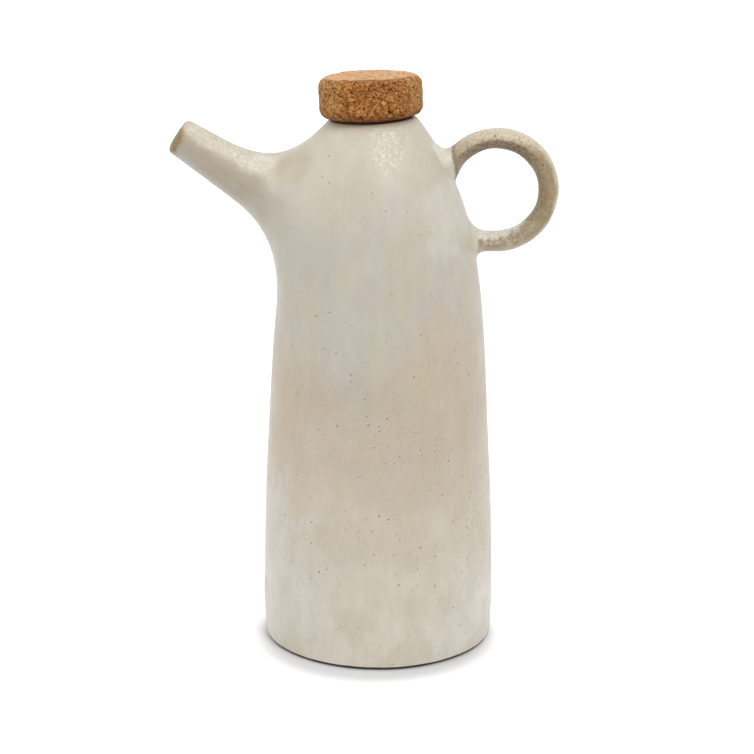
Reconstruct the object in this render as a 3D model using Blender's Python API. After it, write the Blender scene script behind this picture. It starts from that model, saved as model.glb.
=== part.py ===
"""Stoneware oil bottle with a trumpet spout, a finger ring and a cork stopper.

The bottle stands on the ground plane, with its foot centred on the origin.
The spout points along -X and the finger ring along +X. Units are metres.
Heights on the body are called levels: above the shoulder the sections tilt
towards the spout, and a level is the height of a tilted section's centre.
"""

import math

import bmesh
import bpy
from mathutils import Vector

# Clay: walls and the gap left between pieces that touch
wall = 0.0040
spout_wall = 0.0030
joint_gap = 0.0003

# Body outline: its three main radii
belly_radius = 0.04705
shoulder_radius = 0.0397
mouth_radius = 0.0177

# How much narrower than the belly the wall is at the foot, the flank and the waist
foot_draw = 0.00065
flank_draw = 0.0012
waist_draw = 0.00445

# How much narrower than the shoulder it is at the slope and the collar
slope_draw = 0.0048
collar_draw = 0.0124

# Body height to the lip, with the lower stations' heights above the ground
# and the upper stations' drops below the lip
body_height = 0.214
belly_height = 0.020
flank_height = 0.064
waist_height = 0.115
shoulder_drop = 0.062
slope_drop = 0.036
collar_drop = 0.016

# How far the sections' centres wander towards the finger ring as the wall rises
waist_shift = 0.0004
shoulder_shift = 0.0001
slope_shift = -0.0010
collar_shift = -0.0022
mouth_shift = -0.0026

# Base slab under the wall
base_thickness = 0.0060
foot_bevel = 0.0010

# Mouth: how far it has tipped towards the spout, its lip and throat
mouth_tilt = math.radians(2.8)
lip_width = 0.0045
throat_depth = 0.0070
throat_flare = 0.0030
lip_round = 0.0015

# Spout: its axis leaves the wall this far above the shoulder
spout_rise = 0.0274
spout_elevation = math.radians(32.2)
spout_length = 0.0512
spout_tip_radius = 0.0070
spout_tip_round = 0.0015
spout_neck_radius = 0.0094
spout_neck_length = 0.0260
spout_seam_angle = math.radians(14)
flare_pull_over = 0.80
flare_pull_under = 1.40
spout_hole_half_height = 0.0290
spout_hole_half_width = 0.0210

# Finger ring: a coil of clay, its straight start above the shoulder
coil_radius = 0.0041
ring_radius = 0.0205
ring_stub = 0.0093
ring_rise = 0.0118
pad_thickness = 0.0012
pad_radius = 0.0062
pad_waist_radius = 0.0047

# Cork stopper: its head overhangs the lip
stopper_overhang = 0.00265
stopper_thickness = 0.0157
stopper_bulge = 0.0006
stopper_top_round = 0.0044
stopper_foot_round = 0.0042
plug_length = 0.0200
plug_taper = 0.0014
plug_chamfer = 0.0012
plug_clearance = 0.0003

# How finely the round pieces are divided
body_sides = 48
spout_sides = 32
coil_steps = 28
coil_roundness = 3
pad_sides = 20
outer_rings = 20
inner_rings = 14
flare_rings = 9
arc_steps = 3

# Rounds of the two searches below that settle on a place, and the short step
# over which a slope is taken
bisections = 40
level_rounds = 6
probe = 0.0002

shoulder_level = body_height - shoulder_drop
mouth_level = body_height
levels = [
    0.0,
    belly_height,
    flank_height,
    waist_height,
    shoulder_level,
    body_height - slope_drop,
    body_height - collar_drop,
    mouth_level,
]
radii = [
    belly_radius - foot_draw,
    belly_radius,
    belly_radius - flank_draw,
    belly_radius - waist_draw,
    shoulder_radius,
    shoulder_radius - slope_draw,
    shoulder_radius - collar_draw,
    mouth_radius,
]
shifts = [0.0, 0.0, 0.0, waist_shift, shoulder_shift, slope_shift, collar_shift, mouth_shift]
foot_radius = radii[0]
throat_radius = mouth_radius - lip_width
stopper_radius = mouth_radius + stopper_overhang


def blend(start, start_pull, end, end_pull, t):
    """A value on the smooth curve that leaves start and reaches end as they pull."""
    return (
        start * (2 * t**3 - 3 * t**2 + 1)
        + start_pull * (t**3 - 2 * t**2 + t)
        + end * (3 * t**2 - 2 * t**3)
        + end_pull * (t**3 - t**2)
    )


def through_stations(values, level):
    """The value at a level of a smooth curve through the stations' values."""
    last = len(levels) - 1
    index = 0
    while index < last - 1 and level > levels[index + 1]:
        index += 1
    span = levels[index + 1] - levels[index]
    pulls = []
    for station in (index, index + 1):
        below = max(station - 1, 0)
        above = min(station + 1, last)
        pulls.append(span * (values[above] - values[below]) / (levels[above] - levels[below]))
    t = (level - levels[index]) / span
    return blend(values[index], pulls[0], values[index + 1], pulls[1], t)


def wall_radius(level):
    """Outer radius of the body at a level."""
    return through_stations(radii, level)


def centre_shift(level):
    """How far the section's centre lies from the foot's centre, towards the ring."""
    return through_stations(shifts, level)


def cavity_radius(level):
    """Inner radius at a level, one wall in from the outside, square to the slope."""
    slope = (wall_radius(level + probe) - wall_radius(level - probe)) / (2 * probe)
    return wall_radius(level) - wall * math.hypot(1.0, slope)


def section_tilt(level):
    """The section's tilt at a level: none up to the shoulder, the whole at the mouth."""
    share = (level - shoulder_level) / (mouth_level - shoulder_level)
    return mouth_tilt * min(max(share, 0.0), 1.0)


def section_point(level, radius, azimuth):
    """A point on the tilted circle that the body's section makes at a level."""
    tilt = section_tilt(level)
    across = radius * math.cos(azimuth)
    return Vector((
        across * math.cos(tilt) + centre_shift(level),
        radius * math.sin(azimuth),
        level + across * math.sin(tilt),
    ))


def section_ring(level, radius):
    """The points round one section of the body."""
    return [section_point(level, radius, math.tau * i / body_sides) for i in range(body_sides)]


def height_over_wall(point, radius_at=wall_radius):
    """How far a point lies outside the wall, measured across its section."""
    level = point.z
    for _ in range(level_rounds):
        offset = point.x - centre_shift(level)
        level = point.z - offset * math.tan(section_tilt(level))
    across = offset / math.cos(section_tilt(level))
    return math.hypot(across, point.y) - radius_at(level)


def meeting(goal, measure, near, far):
    """The value between near and far at which a growing measure meets a goal."""
    for _ in range(bisections):
        middle = (near + far) / 2
        if measure(middle) < goal:
            near = middle
        else:
            far = middle
    return near


def wall_ahead(start, direction, gap=0.0, radius_at=wall_radius):
    """Where a line from inside the body comes out through a skin of it, and a gap beyond."""
    body_width = 4 * belly_radius
    run = meeting(gap, lambda d: height_over_wall(start + direction * d, radius_at), 0.0, body_width)
    return start + direction * run


def wall_normal(point):
    """The outward direction of the body's surface by a point."""
    here = height_over_wall(point)
    return Vector([
        height_over_wall(point + Vector([probe * (axis == i) for i in range(3)])) - here
        for axis in range(3)
    ]).normalized()


def circle(centre, first, second, radius, sides):
    """Points round a circle that starts along first and turns towards second."""
    return [
        centre
        + first * radius * math.cos(math.tau * i / sides)
        + second * radius * math.sin(math.tau * i / sides)
        for i in range(sides)
    ]


def finish(name, bm, material, parent=None):
    """Turn a bmesh into a smooth-shaded object with its own material."""
    bmesh.ops.recalc_face_normals(bm, faces=bm.faces)
    mesh = bpy.data.meshes.new(name)
    bm.to_mesh(mesh)
    bm.free()
    mesh.shade_smooth()
    mesh.set_sharp_from_angle(angle=math.radians(35))
    mesh.materials.append(material)
    obj = bpy.data.objects.new(name, mesh)
    obj.parent = parent
    bpy.context.scene.collection.objects.link(obj)
    return obj


def loft(rings, closed=False, start_tip=None):
    """Skin rings of equal count: closed into a loop, or capped flat or to a start tip."""
    bm = bmesh.new()
    loops = [[bm.verts.new(point) for point in ring] for ring in rings]
    pairs = list(zip(loops, loops[1:]))
    if closed:
        pairs.append((loops[-1], loops[0]))
    for low, high in pairs:
        count = len(low)
        for i in range(count):
            j = (i + 1) % count
            bm.faces.new((low[i], low[j], high[j], high[i]))
    if not closed:
        bm.faces.new(loops[-1])
        if start_tip is None:
            bm.faces.new(loops[0])
        else:
            first = loops[0]
            apex = bm.verts.new(start_tip)
            for i in range(len(first)):
                bm.faces.new((first[i], first[(i + 1) % len(first)], apex))
    return bm


def make_material(name, colour, roughness):
    """A plain Principled material with a linear colour."""
    material = bpy.data.materials.new(name)
    material.use_nodes = True
    shader = material.node_tree.nodes["Principled BSDF"]
    shader.inputs["Base Color"].default_value = (*colour, 1.0)
    shader.inputs["Roughness"].default_value = roughness
    shader.inputs["Metallic"].default_value = 0.0
    return material


# Mouth axis: up out of the bottle, and across it away from the spout
sideways = Vector((0, 1, 0))
mouth_centre = section_point(mouth_level, 0.0, 0.0)
mouth_up = Vector((-math.sin(mouth_tilt), 0, math.cos(mouth_tilt)))
mouth_across = sideways.cross(mouth_up)

# Spout axis: where it leaves the wall, which way it points and where it ends
spout_level = shoulder_level + spout_rise
spout_out = Vector((-math.cos(spout_elevation), 0, math.sin(spout_elevation)))
spout_up = Vector((math.sin(spout_elevation), 0, math.cos(spout_elevation)))
spout_root = section_point(spout_level, wall_radius(spout_level), math.pi)
spout_tip = spout_root + spout_out * spout_length


def hole_outline(shrink, along):
    """The oval that the spout makes in the wall, moved along the spout's axis."""
    ring = []
    for i in range(spout_sides):
        turn = math.tau * i / spout_sides
        ring.append(
            spout_root
            + spout_out * along
            + sideways * (spout_hole_half_width - shrink) * math.cos(turn)
            + spout_up * (spout_hole_half_height - shrink) * math.sin(turn)
        )
    return ring


def seam_ring(radius_at):
    """Where the spout's root oval, a joint gap inside the hole, meets a skin of the wall."""
    ring = []
    for point in hole_outline(joint_gap, 0.0):
        inside = point - spout_out * (point.x / spout_out.x)
        ring.append(wall_ahead(inside, spout_out, 0.0, radius_at))
    return ring


def flare(seam, neck, neck_centre, taper, lift):
    """Rings of a trumpet that leaves the wall along its surface and ends on the neck."""
    rings = []
    for step in range(flare_rings):
        t = step / flare_rings
        ring = []
        for start, end in zip(seam, neck):
            normal = wall_normal(start)
            inward = neck_centre - start
            along_wall = (inward - normal * inward.dot(normal)).normalized()
            start_way = along_wall * math.cos(lift) + normal * math.sin(lift)
            radial = (end - neck_centre).normalized()
            end_way = spout_out * math.cos(taper) - radial * math.sin(taper)
            over = (1 + radial.dot(spout_up)) / 2
            pull = flare_pull_under + (flare_pull_over - flare_pull_under) * over
            reach = (end - start).length * pull
            ring.append(blend(start, start_way * reach, end, end_way * reach, t))
        rings.append(ring)
    return rings


def mouth_ring(depth, radius):
    """The points round the mouth's axis at a depth below the lip."""
    return circle(mouth_centre - mouth_up * depth, mouth_across, sideways, radius, body_sides)


def build_body_wall(material):
    """The thrown wall: foot to lip outside, back down the cavity, with the spout's hole."""
    bottom = base_thickness + joint_gap
    lip_level = mouth_level - lip_round
    cavity_top = mouth_level - throat_depth - throat_flare
    rings = []
    for i in range(outer_rings + 1):
        level = bottom + (lip_level - bottom) * i / outer_rings
        rings.append(section_ring(level, wall_radius(level)))
    for i in range(1, arc_steps + 1):
        turn = math.pi / 2 * i / arc_steps
        radius = wall_radius(lip_level) - lip_round * (1 - math.cos(turn))
        rings.append(mouth_ring(lip_round * (1 - math.sin(turn)), radius))
    for i in range(arc_steps + 1):
        turn = math.pi / 2 * i / arc_steps
        radius = throat_radius + lip_round * (1 - math.sin(turn))
        rings.append(mouth_ring(lip_round * (1 - math.cos(turn)), radius))
    rings.append(mouth_ring(throat_depth, throat_radius))
    for i in range(inner_rings + 1):
        level = cavity_top + (bottom - cavity_top) * i / inner_rings
        rings.append(section_ring(level, cavity_radius(level)))
    body = finish("body_wall", loft(rings, closed=True), material)

    back = hole_outline(0.0, -(spout_hole_half_height + wall))
    front = hole_outline(0.0, spout_hole_half_height)
    cutter = finish("spout_hole", loft([back, front]), material)
    cutter.hide_render = True
    cutter.display_type = "WIRE"
    cut = body.modifiers.new("spout hole", "BOOLEAN")
    cut.operation = "DIFFERENCE"
    cut.solver = "EXACT"
    cut.object = cutter
    return body


def build_base_disc(material):
    """The flat slab that closes the foot, with its lower edge taken off."""
    rings = [
        section_ring(0.0, foot_radius - foot_bevel),
        section_ring(foot_bevel, wall_radius(foot_bevel)),
        section_ring(base_thickness, wall_radius(base_thickness)),
    ]
    return finish("base_disc", loft(rings), material)


def build_spout(material):
    """The trumpet spout with its pouring bore, butted to the hole in the wall."""
    tip_bore = spout_tip_radius - spout_wall
    neck_bore = spout_neck_radius - spout_wall
    neck_centre = spout_tip - spout_out * spout_neck_length
    taper = math.atan2(spout_neck_radius - spout_tip_radius, spout_neck_length)

    def tube_ring(back, radius):
        return circle(spout_tip - spout_out * back, sideways, spout_up, radius, spout_sides)

    outer_neck = tube_ring(spout_neck_length, spout_neck_radius)
    inner_neck = tube_ring(spout_neck_length, neck_bore)
    rings = flare(seam_ring(wall_radius), outer_neck, neck_centre, taper, spout_seam_angle)
    rings.append(outer_neck)
    for i in range(arc_steps + 1):
        turn = math.pi / 2 * i / arc_steps
        back = spout_tip_round * (1 - math.sin(turn))
        rings.append(tube_ring(back, spout_tip_radius - spout_tip_round * (1 - math.cos(turn))))
    rings.append(tube_ring(0.0, tip_bore))
    rings.append(inner_neck)
    rings += reversed(flare(seam_ring(cavity_radius), inner_neck, neck_centre, taper, 0.0))
    return finish("spout", loft(rings, closed=True), material)


# Finger ring: its lower run starts level at ring_level, then turns through the circle
ring_level = shoulder_level + ring_rise
ring_wall = section_point(ring_level, wall_radius(ring_level), 0.0)
ring_centre = ring_wall + Vector((ring_stub, 0, ring_radius))


def ring_point(turn):
    """A point on the finger ring's centre line, turned from its lowest point."""
    return ring_centre + Vector((math.sin(turn), 0, -math.cos(turn))) * ring_radius


def ring_way(turn):
    """The direction of the centre line at that point, away from the lower root."""
    return Vector((math.cos(turn), 0, math.sin(turn)))


def end_clearance(centre, way):
    """The least distance from a cut end of the coil to the wall."""
    across = way.cross(sideways)
    return min(
        height_over_wall(point)
        for point in circle(centre, across, sideways, coil_radius, pad_sides)
    )


# The coil stops at each end where it comes as near to the wall as a pad allows
stand_off = pad_thickness + 2 * joint_gap
lower_way = ring_way(0.0)
lower_run = meeting(
    stand_off, lambda run: end_clearance(ring_wall + lower_way * run, lower_way), 0.0, ring_stub
)
lower_end = ring_wall + lower_way * lower_run
upper_turn = meeting(
    -stand_off, lambda turn: -end_clearance(ring_point(turn), ring_way(turn)), math.pi, 1.5 * math.pi
)
upper_end = ring_point(upper_turn)
upper_way = -ring_way(upper_turn)


def build_handle(material):
    """The round coil, bent to a ring, between its two pads."""
    points = [lower_end]
    points += [ring_point(upper_turn * i / coil_steps) for i in range(coil_steps + 1)]
    curve = bpy.data.curves.new("handle", "CURVE")
    curve.dimensions = "3D"
    curve.bevel_depth = coil_radius
    curve.bevel_resolution = coil_roundness
    curve.use_fill_caps = True
    spline = curve.splines.new("POLY")
    spline.points.add(len(points) - 1)
    for spline_point, point in zip(spline.points, points):
        spline_point.co = (*point, 1.0)
    curve.materials.append(material)
    handle = bpy.data.objects.new("handle", curve)
    bpy.context.scene.collection.objects.link(handle)
    return handle


def build_pad(name, end, way, material):
    """A flared collar of soft clay between the wall and a cut end of the coil."""
    across = way.cross(sideways)
    top_centre = end - way * joint_gap

    def on_wall(point):
        return wall_ahead(point - way * shoulder_radius, way, joint_gap)

    def top_ring(radius):
        return circle(top_centre, across, sideways, radius, pad_sides)

    def foot_ring(radius):
        return [on_wall(point) for point in top_ring(radius)]

    waist = [
        (low + high) / 2
        for low, high in zip(foot_ring(pad_waist_radius), top_ring(pad_waist_radius))
    ]
    rings = [foot_ring(pad_radius / 2), foot_ring(pad_radius), waist, top_ring(coil_radius)]
    return finish(name, loft(rings, start_tip=on_wall(top_centre)), material)


def build_stopper(head_material, plug_material):
    """The cork: a thick rounded head, and the tapered plug glued under it."""
    axis = bpy.data.objects.new("stopper_axis", None)
    axis.location = mouth_centre
    axis.rotation_euler = (0, -mouth_tilt, 0)
    bpy.context.scene.collection.objects.link(axis)
    origin, east, north, up = (Vector(v) for v in ((0, 0, 0), (1, 0, 0), (0, 1, 0), (0, 0, 1)))

    def ring(height, radius):
        return circle(origin + up * height, east, north, radius, body_sides)

    low = joint_gap
    high = low + stopper_thickness
    side = stopper_radius - stopper_bulge
    rings = []
    for i in range(arc_steps + 1):
        turn = math.pi / 2 * i / arc_steps
        lift = stopper_foot_round * (1 - math.cos(turn))
        rings.append(ring(low + lift, side - stopper_foot_round * (1 - math.sin(turn))))
    rings.append(ring((low + high) / 2, stopper_radius))
    for i in range(arc_steps + 1):
        turn = math.pi / 2 * i / arc_steps
        drop = stopper_top_round * (1 - math.sin(turn))
        rings.append(ring(high - drop, side - stopper_top_round * (1 - math.cos(turn))))
    finish("stopper_head", loft(rings), head_material, axis)

    top_radius = throat_radius - plug_clearance
    end_radius = top_radius - plug_taper
    rings = [
        ring(0.0, top_radius),
        ring(plug_chamfer - plug_length, end_radius),
        ring(-plug_length, end_radius - plug_chamfer),
    ]
    finish("stopper_plug", loft(rings), plug_material, axis)


def main():
    for obj in list(bpy.data.objects):
        bpy.data.objects.remove(obj)

    build_body_wall(make_material("speckled glaze", (0.56, 0.52, 0.45), 0.45))
    build_base_disc(make_material("bare stoneware", (0.30, 0.24, 0.17), 0.80))
    build_spout(make_material("spout glaze", (0.54, 0.50, 0.43), 0.45))
    build_handle(make_material("thin tan glaze", (0.46, 0.38, 0.28), 0.55))
    for name, end, way in (("lower", lower_end, lower_way), ("upper", upper_end, upper_way)):
        pad_glaze = make_material(name + " pad glaze", (0.58, 0.55, 0.47), 0.45)
        build_pad(name + "_handle_pad", end, way, pad_glaze)
    build_stopper(
        make_material("pressed cork", (0.48, 0.25, 0.10), 0.90),
        make_material("plug cork", (0.44, 0.23, 0.10), 0.90),
    )


main()
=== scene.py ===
"""Looks of the stoneware oil bottle: its glazed skin, tan finger ring and pressed cork.

The clay skin is one smooth surface, given by a distance function that blends the
body, the spout and the ends of the coil. Each piece is a part of that surface, so
the pieces meet without a step. Lengths are in metres, and textures in millimetres.
"""

import math

import bmesh
import bpy
import numpy as np
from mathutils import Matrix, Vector


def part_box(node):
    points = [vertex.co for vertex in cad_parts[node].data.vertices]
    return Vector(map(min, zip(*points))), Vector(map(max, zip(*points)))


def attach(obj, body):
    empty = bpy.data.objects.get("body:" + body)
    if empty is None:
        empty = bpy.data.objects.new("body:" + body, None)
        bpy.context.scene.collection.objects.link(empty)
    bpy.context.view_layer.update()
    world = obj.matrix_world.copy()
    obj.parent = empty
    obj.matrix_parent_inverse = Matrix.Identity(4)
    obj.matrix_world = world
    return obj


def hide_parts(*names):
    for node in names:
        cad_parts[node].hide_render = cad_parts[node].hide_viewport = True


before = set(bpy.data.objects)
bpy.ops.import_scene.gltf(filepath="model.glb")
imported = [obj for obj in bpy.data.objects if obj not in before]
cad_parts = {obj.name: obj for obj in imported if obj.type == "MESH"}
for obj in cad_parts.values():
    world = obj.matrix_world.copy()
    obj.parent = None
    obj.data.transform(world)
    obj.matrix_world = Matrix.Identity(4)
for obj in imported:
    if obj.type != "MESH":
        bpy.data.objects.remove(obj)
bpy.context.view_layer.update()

# Clay wall, as in the solids: outline stations from the foot to the mouth
station_levels = np.array([0.0, 0.020, 0.064, 0.115, 0.152, 0.178, 0.198, 0.2075, 0.214])
station_radii = np.array([0.0464, 0.04705, 0.04585, 0.0428, 0.03945, 0.0349, 0.0273, 0.02145, 0.0167])
station_shifts = np.array([0.0, 0.0, 0.0, 0.0002, 0.00035, -0.0010, -0.0022, -0.0023, -0.0022])
mouth_shift = -0.0026
shoulder_level = 0.152
mouth_level = 0.214
mouth_tilt = math.radians(2.8)
wall = 0.0040
wobble_depth = 0.00010

# Lip, throat and foot
lip_round = 0.0020
lip_pull = 0.0022
throat_radius = 0.0132
throat_depth = 0.0070
throat_flare = 0.0030
foot_round = 0.0011
base_top = (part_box("base_disc")[1].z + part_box("body_wall")[0].z) / 2

# Spout: a slightly tapered tube whose blend into the body is wider above than below
spout_tip = np.array([-0.0789, 0.0, 0.2067])
spout_elevation = math.radians(33.0)
spout_tip_radius = 0.0073
spout_taper = 0.0696
spout_flare = 0.0012
spout_flare_reach = 0.050
spout_flare_power = 4.8
spout_flare_late = 1.3
spout_flare_easing = 0.15
spout_end = -0.020
spout_wall = 0.0030
spout_tip_round = 0.0024
spout_bore_round = 0.0008
spout_neck_back = 0.030
tip_sag = 0.00012
tip_sag_reach = 0.001
blend_under = 0.0192
blend_over = 0.0296
blend_inside = 0.012

# Part of the wall's grid that the spout takes over
spout_patch_low = 0.158
spout_patch_high = 0.2065
spout_patch_half_turn = math.radians(32)

# Finger ring: a coil that starts level and then turns through the circle
coil_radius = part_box("handle")[1].y
ring_radius = 0.0206
ring_level = 0.16405
ring_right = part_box("handle")[1].x - coil_radius
ring_centre = np.array([ring_right - ring_radius, 0.0, ring_level + ring_radius])
ring_end_turn = math.radians(248)
collar_length = 0.0036
collar_reach = 0.0042
collar_dip = 0.00003
collar_easing = 0.006
fillet_over = 0.0075
fillet_under = 0.0040
fillet_notch = 0.0075
fillet_inside = 0.0022
upper_root_level = 0.1945
coil_end_share = 0.93
coil_end_depth = 0.0002
feather = 0.0004
pad_foot_depth = 0.0005
pad_root_depth = 0.0015
pad_rim_depth = 0.0003

# Cork stopper, on the mouth's axis
stopper_radius = 0.02035
stopper_bottom = 0.0003
stopper_top = 0.0157
stopper_top_round = 0.0037
stopper_foot_round = 0.0036
cork_pit = (0.0073, -0.0190, 0.0043)
cork_pit_depth = 0.0006
chip_count = 2600
chip_relief = 0.00007
seam_width = 0.00025
pit_count = 170
plug_length = 0.0200
plug_radius = 0.0129
plug_taper = 0.0014
plug_bevel = 0.0010

# How finely the skins are divided, and how points and rays find them
wall_columns = 180
wall_rows = 128
trumpet_rings = 34
tube_rings = 22
pad_columns = 64
pad_rings = 14
coil_columns = 48
coil_rings = 150
ray_rounds = 14
settle_rounds = 7
least_slope = 0.35
most_slope = 2
probe = 2e-5
block_size = 2000

rightward = np.array([1.0, 0.0, 0.0])
sideways = np.array([0.0, 1.0, 0.0])
mouth_up = np.array([-math.sin(mouth_tilt), 0.0, math.cos(mouth_tilt)])
mouth_across = np.cross(sideways, mouth_up)
mouth_centre = np.array([mouth_shift, 0.0, mouth_level])
spout_out = np.array([-math.cos(spout_elevation), 0.0, math.sin(spout_elevation)])
spout_up = np.array([math.sin(spout_elevation), 0.0, math.cos(spout_elevation)])


def along(vector, amount):
    """A vector for each amount in an array."""
    return np.asarray(amount)[..., None] * vector


def unit(vectors):
    """The vectors at length one."""
    return vectors / np.linalg.norm(vectors, axis=-1, keepdims=True)


def blend(start, start_pull, end, end_pull, t):
    """Points on smooth curves that leave start and reach end as they pull."""
    return (
        start * (2 * t**3 - 3 * t**2 + 1)
        + start_pull * (t**3 - 2 * t**2 + t)
        + end * (3 * t**2 - 2 * t**3)
        + end_pull * (t**3 - t**2)
    )


def through_stations(values, level):
    """The value at each level of a smooth curve through the stations' values."""
    slopes = np.empty_like(values)
    slopes[1:-1] = (values[2:] - values[:-2]) / (station_levels[2:] - station_levels[:-2])
    slopes[0] = (values[1] - values[0]) / (station_levels[1] - station_levels[0])
    slopes[-1] = (values[-1] - values[-2]) / (station_levels[-1] - station_levels[-2])
    inside = np.clip(level, station_levels[0], station_levels[-1])
    i = np.clip(np.searchsorted(station_levels, inside) - 1, 0, len(values) - 2)
    span = station_levels[i + 1] - station_levels[i]
    t = (inside - station_levels[i]) / span
    value = blend(values[i], slopes[i] * span, values[i + 1], slopes[i + 1] * span, t)
    return value + np.where(level > inside, slopes[-1], slopes[0]) * (level - inside)


def tilt_at(level):
    """The tilt of the wall's section: none up to the shoulder, the whole at the mouth."""
    share = (level - shoulder_level) / (mouth_level - shoulder_level)
    return mouth_tilt * np.clip(share, 0, 1)


def wobble(points):
    """The small unevenness of a wall thrown by hand: slow swells and faint finger rings."""
    x, y, z = np.moveaxis(points, -1, 0) * 1000
    swells = (
        np.sin(x / 13 + z / 31 + 0.7)
        + np.sin(y / 11 - z / 23 + 2.1)
        + 0.8 * np.sin(z / 9.5 + np.sin(x / 17) + 1.3)
        + 0.6 * np.sin((x + y) / 8 + z / 14)
    )
    rings = np.sin(z / 1.35 + np.arctan2(y, x)) * (0.5 + 0.5 * np.sin(z / 21 + 0.4))
    return wobble_depth * swells + 0.10 * wobble_depth * rings


def wall_gap(points):
    """How far each point lies outside the wall of the body."""
    x, y, z = np.moveaxis(points, -1, 0)
    level = z
    for _ in range(5):
        offset = x - through_stations(station_shifts, level)
        level = z - offset * np.tan(tilt_at(level))
    across = offset / np.cos(tilt_at(level))
    under, radius, over = (through_stations(station_radii, level + step) for step in (-probe, 0, probe))
    return (np.hypot(across, y) - radius) / np.hypot(1, (over - under) / (2 * probe)) - wobble(points)


def spout_gap(points, inset=0.0):
    """How far each point lies outside the spout's tube, and its share of the upper side."""
    from_tip = points - spout_tip
    back = np.clip(-(from_tip @ spout_out), 0, None)
    height = from_tip @ spout_up
    radial = np.hypot(height, points[..., 1])
    late = np.clip(back / spout_flare_reach - spout_flare_late, 0, None) / spout_flare_easing
    eased = spout_flare_late + spout_flare_easing * np.tanh(late)
    share = np.where(late > 0, eased, back / spout_flare_reach)
    radius = spout_tip_radius + spout_taper * back + spout_flare * share**spout_flare_power
    steep = spout_flare * spout_flare_power / spout_flare_reach * share ** (spout_flare_power - 1)
    slope = spout_taper + steep * (1 - np.tanh(late) ** 2)
    ended = np.clip(points[..., 0] - spout_end, 0, None) / spout_end
    over = (1 + height / np.maximum(radial, probe)) / 2
    gap = (radial - radius - 0.6 * wobble(points)) / np.hypot(1, slope) + 0.030 * ended**2
    return gap + inset, over


def coil_gap(points):
    """How far each point lies outside the coil, whose upper end stops inside the wall."""
    x, y, z = np.moveaxis(points - ring_centre, -1, 0)
    turn = np.arctan2(x, -z) % math.tau
    end_x, end_z = ring_radius * math.sin(ring_end_turn), -ring_radius * math.cos(ring_end_turn)
    on_arc = turn < ring_end_turn
    height = np.hypot(x - end_x, z - end_z)
    height = np.where(on_arc, np.minimum(height, abs(np.hypot(x, z) - ring_radius)), height)
    height = np.where(x < 0, np.minimum(height, abs(z + ring_radius)), height)
    turn = np.where(on_arc, turn, 0)
    kneaded = 0.00012 * np.sin(3 * turn + 0.6) + 0.00006 * np.sin(9 * turn)
    return np.hypot(height, y) - (coil_radius + kneaded)


def smooth_min(first, second, reach):
    """The lesser of two distances, with a fillet where both are within reach."""
    nearness = np.clip(1 - np.abs(first - second) / reach, 0, None)
    return np.minimum(first, second) - reach / 4 * nearness**2


def clay_gap(points):
    """How far each point lies outside the body and spout."""
    tube, over = spout_gap(points)
    return smooth_min(wall_gap(points), tube, blend_under + (blend_over - blend_under) * over)


def cavity_gap(points):
    """The same for the cavity and the spout's bore."""
    return smooth_min(wall_gap(points) + wall, spout_gap(points, spout_wall)[0], blend_inside)


def fillet_reach(points):
    """How wide the fillet between wall and coil is, which is more over each root than under it."""
    x, y, z = np.moveaxis(points, -1, 0)
    by_lower = (1 - np.tanh((z - ring_centre[2]) / 0.002)) / 2
    over_lower = (1 + np.tanh((z - ring_level) / 0.004)) / 2
    over_upper = (1 + np.tanh((z - upper_root_level) / 0.003)) / 2
    lower = fillet_under + (fillet_over - fillet_under) * over_lower
    upper = fillet_inside + (fillet_notch - fillet_inside) * over_upper
    return upper + (lower - upper) * by_lower


def dressed_gap(points):
    """How far each point lies outside the body, the spout and the coil's rooted ends."""
    return smooth_min(clay_gap(points), coil_gap(points), fillet_reach(points))


def swelled_gap(points):
    """The same without what lies nearer the coil than the collars' edges."""
    away = np.maximum(coil_gap(points), collar_reach)
    return smooth_min(clay_gap(points), away, fillet_reach(points))


def gradient(gap, points):
    """A distance function's value and its slope at each point."""
    here = gap(points)
    slope = [(gap(points + probe * axis) - here) / probe for axis in np.eye(3)]
    return here, np.stack(slope, axis=-1)


def settle(gap, points):
    """The points moved straight onto the surface where the distance is zero."""
    for _ in range(settle_rounds):
        here, slope = gradient(gap, points)
        points = points - slope * (here / (slope**2).sum(-1))[..., None]
    return points


def meet(gap, origin, way, guess):
    """Where each ray meets the surface, from a guess at how far that is."""
    run = np.broadcast_to(guess, way.shape[:-1]).astype(float)
    for _ in range(ray_rounds):
        here = gap(origin + way * run[..., None])
        ahead = gap(origin + way * (run + probe)[..., None])
        run = run - here / np.clip((ahead - here) / probe, least_slope, most_slope)
    return origin + way * run[..., None]


def leave(gap, start, end):
    """A surface's normals at start, how far end lies, and the ways along the surface towards it."""
    normal = unit(gradient(gap, start)[1])
    inward = end - start
    run = np.linalg.norm(inward, axis=-1, keepdims=True)
    return normal, run, unit(inward - normal * (inward * normal).sum(-1, keepdims=True))


def rounding(count):
    """A quarter turn in steps: how far each lies off the first face and off the second."""
    turns = np.linspace(0, math.pi / 2, count)
    return list(zip(1 - np.cos(turns), 1 - np.sin(turns)))


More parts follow.
